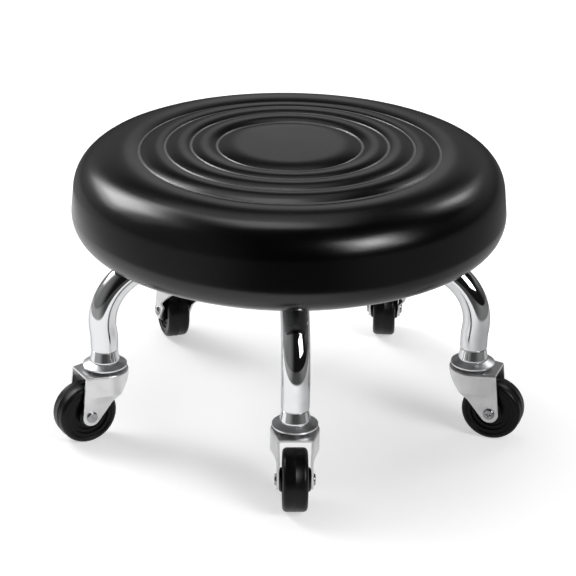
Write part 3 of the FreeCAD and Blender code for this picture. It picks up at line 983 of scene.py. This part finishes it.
    def build(self, vinyl: bpy.types.Material) -> None:
        """Makes the cushion, which stands for the cover and the foam.

        Args:
            vinyl: the cushion's finish.
        """
        shape = self.cushion_shape()
        shape.normal_update()
        self.made_uneven(shape)
        cushion = as_piece("seat_cushion", shape, vinyl)
        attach(cushion, "frame")
        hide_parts("seat_cover", "seat_foam")
        LOG.info("built %s with %d faces", cushion.name, len(cushion.data.polygons))

    def dress(self, plywood: bpy.types.Material, steel: bpy.types.Material) -> None:
        """Finishes the board and the fasteners inside the seat."""
        dress(["seat_board"], plywood)
        dress(["cover_staples", "seat_tee_nuts", "seat_screws"], steel)


# Legs

@dataclass
class LegFrame:
    """The plate with its bright rim, the five legs welded under it and their sockets."""

    def dress(self, chrome: bpy.types.Material) -> None:
        """Finishes the plate, the tubes and the collars.

        Args:
            chrome: the finish of the tubes and collars.
        """
        plate = RimmedPlate(bottom=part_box("base_plate")[0].z)
        dress(["base_plate"], plate.material())
        for place in Place:
            dress([f"leg_{place.value}", f"leg_socket_{place.value}"], chrome)


# Casters

@dataclass
class Caster:
    """One swivel caster: cap, fork, axle and wheel."""

    place: Place
    tread_width: float = 0.0196
    core_radius: float = 0.02005
    shoulder: float = 0.0035
    parting_width: float = 0.0009
    parting_height: float = 0.00022
    parting_taper: float = 3.0
    sides: int = 128
    shoulder_steps: int = 10

    def joint(self, name: str) -> Mapping[str, Any]:
        """One of this caster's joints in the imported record."""
        full_name = f"{name}_{self.place.value}"
        return next(item for item in frame["joints"] if item["name"] == full_name)

    def on_axle(self) -> Matrix:
        """Takes a shape turned about Z to the wheel's axle.

        Returns:
            The move from the origin to the wheel's middle.
        """
        roll = self.joint("roll")
        turn = Vector((0.0, 0.0, 1.0)).rotation_difference(Vector(roll["axis"]))
        centre = Vector((roll["pos_m"][0], roll["pos_m"][1], self.radius()))
        return Matrix.Translation(centre) @ turn.to_matrix().to_4x4()

    def radius(self) -> float:
        """The wheel's radius, from the tread's height in the frame."""
        low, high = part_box(f"wheel_tread_{self.place.value}")
        return (high.z - low.z) / 2

    def tread_shape(self) -> bmesh.types.BMesh:
        """The tyre: round shoulders and the mould's parting line round its middle.

        Returns:
            The tyre's mesh, on its axle.
        """
        crest = self.radius()
        outer = crest - self.parting_height
        half = self.tread_width / 2
        side = outer - self.shoulder
        run = half - self.shoulder
        line = self.parting_width / 2
        crest_line = line / self.parting_taper
        outline = Outline(self.core_radius, -half)
        outline.line(side, -half)
        outline.arc(side, -run, QUARTER_TURN, self.shoulder_steps)
        for r, across in ((outer, -line), (crest, -crest_line), (crest, crest_line),
                          (outer, line), (outer, run)):
            outline.line(r, across)
        outline.arc(side, run, QUARTER_TURN, self.shoulder_steps)
        outline.line(self.core_radius, half)
        outline.line(self.core_radius, -half)
        shape = outline.turned(self.sides)
        bmesh.ops.transform(shape, matrix=self.on_axle(), verts=shape.verts)
        return shape

    def build(self, rubber: bpy.types.Material) -> None:
        """Makes the tyre, which stands for the plain one of the frame.

        Args:
            rubber: the tyre's finish.
        """
        tyre = as_piece(f"tyre_{self.place.value}", self.tread_shape(), rubber)
        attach(tyre, f"wheel_{self.place.value}")
        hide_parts(f"wheel_tread_{self.place.value}")
        LOG.info("built %s", tyre.name)

    def dress(self, nickel: bpy.types.Material, steel: bpy.types.Material,
              heads: bpy.types.Material, plastic: bpy.types.Material) -> None:
        """Finishes the caster's rigid pieces.

        Args:
            nickel: the fork's finish.
            steel: the finish of the stem and the wheel's bush.
            heads: the finish of the axle and its screw.
            plastic: the finish of the wheel's middle.
        """
        end = self.place.value
        stem = self.joint("swivel")["pos_m"]
        cap = TurnedChrome(name=f"turned_chrome_{end}", centre=(stem[0], stem[1]))
        dress([f"raceway_cap_{end}"], cap.material())
        dress([f"fork_{end}"], nickel)
        dress([f"axle_{end}", f"axle_screw_{end}"], heads)
        dress([f"caster_stem_{end}", f"wheel_bush_{end}"], steel)
        dress([f"wheel_core_{end}"], plastic)


# Studio

@dataclass(frozen=True)
class Softbox:
    """A soft studio lamp, placed by the direction in which it stands.

    The heading counts in degrees from +Y, clockwise seen from above. The height is in degrees
    over the floor, and the width and depth are the angles that the lamp fills.
    """

    name: str
    heading: float
    height: float
    width: float
    depth: float
    radiance: float
    distance: float = 5.0

    def build(self, target: Vector) -> None:
        """Makes the lamp, turned to a target.

        Args:
            target: the point that it lights.
        """
        heading = math.radians(self.heading)
        height = math.radians(self.height)
        level = math.cos(height)
        away = Vector((math.sin(heading) * level, math.cos(heading) * level, math.sin(height)))
        lamp = bpy.data.lights.new(self.name, "AREA")
        lamp.shape = "RECTANGLE"
        lamp.size = 2 * self.distance * math.tan(math.radians(self.width) / 2)
        lamp.size_y = 2 * self.distance * math.tan(math.radians(self.depth) / 2)
        lamp.energy = LAMP_ENERGY_PER_RADIANCE * lamp.size * lamp.size_y * self.radiance
        stand = bpy.data.objects.new(self.name, lamp)
        stand.location = target + away * self.distance
        stand.rotation_mode = "QUATERNION"
        stand.rotation_quaternion = (-away).to_track_quat("-Z", "Y")
        stand.visible_camera = False
        bpy.context.scene.collection.objects.link(stand)


@dataclass(frozen=True)
class Floor:
    """A plain pale floor that shows white and keeps shadows, which a painted glow growing away from the stool
    fades.

    To mirrors it is a painted pool of light about the stool, with painted shade to the right where the seat's
    shadow falls, and a darker floor beyond.
    """

    size: float = 40.0
    colour: Colour = (0.70, 0.70, 0.70)
    dark_colour: Colour = (0.02, 0.02, 0.02)
    lift: float = 0.44
    near_painted_light: float = 0.22
    near: Step = (0.10, 0.30)
    far_fade: float = 0.36
    far: Step = (0.8, 3.0)
    pool_edge: Step = (0.46, 0.53)
    pool_back: float = 0.08
    pool_left: float = 0.07
    pool_squeeze: float = 0.80
    right_painted_shade: float = 0.50
    right: Step = (0.0, 0.30)
    beyond: float = 0.05
    beyond_left: float = 0.28
    beyond_right: float = 0.12
    aside: Step = (0.2, 0.8)
    middle: float = 0.001

    def pool(self, x: Field, y: Field) -> Field:
        """How bright the floor is to mirrors: a painted pool of light, with painted shade to the right.

        Args:
            x: metres to the right of the stool's middle.
            y: metres behind it.

        Returns:
            A share of the full brightness.
        """
        narrow, behind = self.pool_squeeze * (x + self.pool_left), y - self.pool_back
        outside = narrow.length_with(behind).rise(*self.pool_edge)
        aside = x * (x.length_with(y) + self.middle) ** -1.0
        to_left = (-1.0 * aside).rise(*self.aside)
        to_right = aside.rise(*self.aside)
        beyond = self.beyond + self.beyond_left * to_left + self.beyond_right * to_right
        # painted shade: the floor to the right of the stool is dimmer to mirrors, where the seat's shadow falls
        inner = 1.0 - self.right_painted_shade * x.rise(*self.right)
        return inner + (beyond - inner) * outside

    def material(self) -> bpy.types.Material:
        """Makes the floor's material.

        Returns:
            A matt surface with a glow that lifts it to white.
        """
        made = bpy.data.materials.new("studio_floor")
        made.use_nodes = True
        sheet = Sheet(made.node_tree)
        path = sheet.node("ShaderNodeLightPath", {}, {}).outputs
        camera = Field(sheet, path["Is Camera Ray"])
        mirror = Field(sheet, path["Is Glossy Ray"])
        through = Field(sheet, path["Is Transmission Ray"])
        x, y, _ = sheet.parts(sheet.place())
        out = x.length_with(y)
        level = 1.0 - (1.0 - self.pool(x, y)) * mirror
        # painted light: the glow to the camera grows away from the stool and fades its shadows; far off it keeps
        # the floor white
        fade = self.near_painted_light * out.rise(*self.near) + self.far_fade * out.rise(*self.far)
        shows = (camera + mirror + through).at_most(1.0)
        tint = sheet.mixed(level, self.dark_colour, self.colour)
        matt = sheet.node("ShaderNodeBsdfDiffuse", {}, {"Color": tint})
        strength = self.lift * shows * level + camera * fade
        glow = sheet.node("ShaderNodeEmission", {}, {"Strength": strength})
        sockets = {0: matt.outputs[0], 1: glow.outputs[0]}
        both = sheet.node("ShaderNodeAddShader", {}, sockets)
        sheet.node("ShaderNodeOutputMaterial", {}, {"Surface": both.outputs[0]})
        return made

    def build(self) -> None:
        """Lays the floor."""
        shape = bmesh.new()
        bmesh.ops.create_grid(shape, x_segments=1, y_segments=1, size=self.size / 2)
        as_piece("studio_floor", shape, self.material())


@dataclass(frozen=True)
class Surroundings:
    """White to the camera; to mirrors and to the light, a pale wall behind in a dark room."""

    dark: float = 0.01
    wall: Step = (-0.25, 0.65)
    wall_level: float = 0.27
    strip_level: float = 0.36
    strip_x: float = 0.04
    strip_edge: Step = (0.0006, 0.0090)
    foot_level: float = 0.40
    foot_gain: float = 0.65
    foot: Step = (0.02, 0.34)
    top: Step = (0.39, 0.48)
    left_level: float = 0.22
    left: Step = (-0.85, -0.2)

    def room(self, x: Field, y: Field, z: Field) -> Field:
        """How bright the room is in a direction.

        Args:
            x: the direction's part to the right.
            y: its part to the back.
            z: its part upwards.

        Returns:
            The brightness.
        """
        off_strip = x - self.strip_x
        strip = 1.0 - (off_strip * off_strip).rise(*self.strip_edge)
        lit = (self.foot_level + self.foot_gain * z.rise(*self.foot)) * (1.0 - z.rise(*self.top))
        wall = y.rise(*self.wall) * (self.wall_level + self.strip_level * strip) * lit
        left = self.left_level * (1.0 - x.rise(*self.left))
        return self.dark + wall + left

    def build(self) -> None:
        """Sets the world round the stool."""
        world = bpy.data.worlds.new("studio")
        world.use_nodes = True
        sheet = Sheet(world.node_tree)
        path = sheet.node("ShaderNodeLightPath", {}, {}).outputs
        through = Field(sheet, path["Is Transmission Ray"])
        shows = (Field(sheet, path["Is Camera Ray"]) + through).at_most(1.0)
        away = sheet.node("ShaderNodeTexCoord", {}, {}).outputs["Generated"]
        strength = shows + (1.0 - shows) * self.room(*sheet.parts(away))
        sky = sheet.node("ShaderNodeBackground", {}, {"Strength": strength})
        sheet.node("ShaderNodeOutputWorld", {}, {"Surface": sky.outputs[0]})
        bpy.context.scene.world = world


@dataclass(frozen=True)
class Viewpoint:
    """A long lens at the photograph's viewing angle. Its turns are in degrees."""

    place: Triple = (-0.0678, -1.5591, 0.7845)
    heading: float = 2.492
    tilt: float = 23.431
    roll: float = 0.784
    lens: float = 128.15

    def build(self) -> None:
        """Places the camera."""
        data = bpy.data.cameras.new("studio_camera")
        data.lens = self.lens
        camera = bpy.data.objects.new("studio_camera", data)
        heading = Matrix.Rotation(-math.radians(self.heading), 4, "Z")
        tilt = Matrix.Rotation(QUARTER_TURN - math.radians(self.tilt), 4, "X")
        roll = Matrix.Rotation(math.radians(self.roll), 4, "Z")
        camera.matrix_world = Matrix.Translation(self.place) @ heading @ tilt @ roll
        bpy.context.scene.collection.objects.link(camera)
        bpy.context.scene.camera = camera


@dataclass
class Studio:
    """Floor, surroundings, lamps and camera."""

    floor: Floor = Floor()
    surroundings: Surroundings = Surroundings()
    viewpoint: Viewpoint = Viewpoint()
    target: Triple = (0.0, 0.0, 0.15)
    softboxes: tuple[Softbox, ...] = (
        Softbox("key_back_left", -54.0, 38.0, 22.0, 20.0, 4.6),
        Softbox("soft_back_left", -53.0, 37.0, 34.0, 34.0, 2.4),
        Softbox("halo_back_left", -60.0, 43.0, 52.0, 34.0, 0.5),
        Softbox("key_front_right", 135.0, 34.0, 14.0, 15.0, 7.0),
        Softbox("halo_front_right", 135.0, 33.0, 28.0, 30.0, 3.0),
        Softbox("fill_back_right", 45.0, 38.0, 12.0, 12.0, 3.0),
        Softbox("halo_back_right", 45.0, 37.0, 30.0, 22.0, 0.5),
        Softbox("key_top", -12.0, 71.5, 18.0, 22.0, 1.5),
        Softbox("halo_top", -11.0, 64.5, 34.0, 42.0, 0.40),
    )

    def build(self) -> None:
        """Sets the whole studio."""
        self.floor.build()
        self.surroundings.build()
        for softbox in self.softboxes:
            softbox.build(Vector(self.target))
        self.viewpoint.build()
        bpy.context.scene.view_settings.view_transform = "Standard"


def main() -> None:
    """Builds the stool's looks and the studio round it."""
    logging.basicConfig(level=logging.INFO, format="%(name)s: %(message)s")
    vinyl = BlackVinyl().material()
    chrome = PolishedChrome().material()
    nickel = BrightNickel().material()
    steel = PlainSteel().material()
    heads = HeadSteel().material()
    rubber = TreadRubber().material()
    plastic = CorePlastic().material()
    seat = Seat()
    seat.build(vinyl)
    seat.dress(Plywood().material(), steel)
    LegFrame().dress(chrome)
    for place in Place:
        caster = Caster(place)
        caster.build(rubber)
        caster.dress(nickel, steel, heads, plastic)
    dress(["swivel_balls"], steel)
    Studio().build()


if __name__ == "__main__":
    main()
